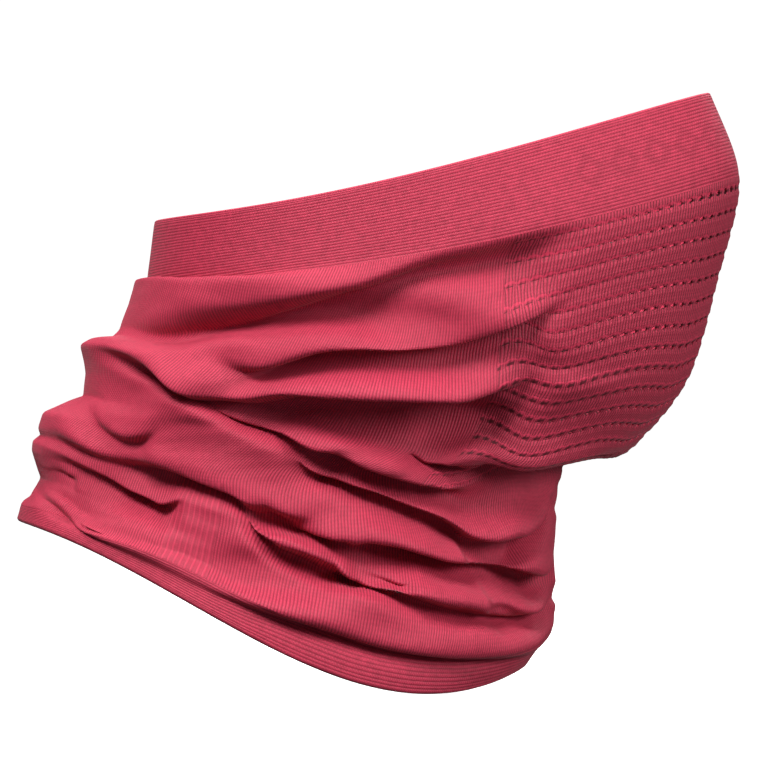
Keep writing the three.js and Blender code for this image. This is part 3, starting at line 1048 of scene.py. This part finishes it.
class GAITER_OT_stage(bpy.types.Operator):
    """Make the floor, the lights and the camera"""

    bl_idname = "gaiter.stage"
    bl_label = "Stage"

    def execute(self, context):
        scene = context.scene
        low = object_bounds()[0][2]
        # A floor that curves up into a backdrop all round, as a section turned on the up axis.
        flat, bend, wall, clear = 6.0, 1.5, 5.0, 0.2 * MM
        rise = np.linspace(0, math.pi / 2, 17)
        r = np.append(flat + bend * np.sin(rise), flat + bend)
        z = np.append(bend * (1 - np.cos(rise)), wall) + low - clear
        turn = np.linspace(0, math.tau, 72, endpoint=False)[:, None]
        points = np.stack([r * np.cos(turn), r * np.sin(turn), z + 0 * turn], axis=-1)
        index, _ = grid_faces(*points.shape[:2])
        ahead = np.roll(index, -1, axis=0)
        faces = np.stack([index[:, :-1], index[:, 1:], ahead[:, 1:], ahead[:, :-1]], axis=-1)
        mesh = bpy.data.meshes.new("floor")
        every = faces.reshape(-1, 4).tolist() + [index[:, 0].tolist()]
        mesh.from_pydata(points.reshape(-1, 3), [], every)
        mesh.polygons.foreach_set("use_smooth", np.ones(len(mesh.polygons), bool))
        floor = placed("floor", mesh)
        paper = bpy.data.materials.new("white paper")
        paper.use_nodes = True
        net = Net(paper.node_tree)
        grain = net.node("ShaderNodeTexNoise", inputs={"Scale": 9.0, "Detail": 2.0})
        tone = net.mix(grain, (0.90, 0.90, 0.90, 1), (0.93, 0.93, 0.93, 1))
        shader = net.node("ShaderNodeBsdfPrincipled", inputs={
            "Base Color": tone, "Roughness": 0.95, "Emission Color": (1, 1, 1, 1),
            "Emission Strength": 0.9, "Specular IOR Level": 0.1,
        })
        net.node("ShaderNodeOutputMaterial", inputs={"Surface": shader})
        mesh.materials.append(paper)
        floor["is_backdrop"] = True
        # So that the floor's glow doesn't fill the folds.
        floor.visible_diffuse = floor.visible_glossy = False

        middle = np.array([VIEW_MIDDLE[0], 0, VIEW_MIDDLE[1]]) * MM
        for name, place, size, power in (
            ("key", (-0.6, -1.2, 1.4), 0.9, 48),
            ("fill", (1.6, -1.1, 0.6), 0.9, 24),
            ("top", (0.1, -0.1, 1.8), 1.1, 20),
            ("back", (0.3, 1.2, 1.0), 1.2, 12),
        ):
            light = bpy.data.lights.new(name, "AREA")
            light.shape, light.size, light.energy = "DISK", size, power
            lamp = placed(name, light)
            lamp.location = middle + np.array(place)
            lamp.rotation_euler = aim(lamp.location, middle)
        world = bpy.data.worlds.new("studio")
        world.use_nodes = True
        net = Net(world.node_tree)
        glow = net.node("ShaderNodeBackground", inputs={"Color": (1, 1, 1, 1), "Strength": 0.12})
        net.node("ShaderNodeOutputWorld", inputs={"Surface": glow})
        scene.world = world
        scene.view_settings.view_transform = "Standard"

        lens = bpy.data.cameras.new("camera")
        lens.lens = lens.sensor_width * VIEW_DISTANCE / VIEW_WIDTH
        lens.clip_end = 20
        camera = placed("camera", lens)
        camera.location = middle - np.array((0, VIEW_DISTANCE * MM, 0))
        camera.rotation_euler = aim(camera.location, middle)
        scene.camera = camera
        return {"FINISHED"}


def aim(place, target):
    """Rotation that points an object's -Z from a place to a target."""
    return (Vector(target) - Vector(place)).to_track_quat("-Z", "Y").to_euler()


class GAITER_PT_panel(bpy.types.Panel):
    bl_label = "Neck gaiter"
    bl_idname = "GAITER_PT_panel"
    bl_space_type = "VIEW_3D"
    bl_region_type = "UI"
    bl_category = "Gaiter"

    def draw(self, context):
        for name in GaiterSettings.__annotations__:
            self.layout.prop(context.scene.gaiter, name)
        for operator in OPERATORS:
            self.layout.operator(operator.bl_idname)


OPERATORS = (
    GAITER_OT_top_welt, GAITER_OT_mask, GAITER_OT_sleeve, GAITER_OT_hem, GAITER_OT_stage,
)
CLASSES = (GaiterSettings, *OPERATORS, GAITER_PT_panel)


def register():
    for made in CLASSES:
        bpy.utils.register_class(made)
    bpy.types.Scene.gaiter = bpy.props.PointerProperty(type=GaiterSettings)


def unregister():
    del bpy.types.Scene.gaiter
    for made in reversed(CLASSES):
        bpy.utils.unregister_class(made)


def main():
    register()
    for operator in OPERATORS:
        group, name = operator.bl_idname.split(".")
        getattr(getattr(bpy.ops, group), name)()


if __name__ == "__main__":
    main()
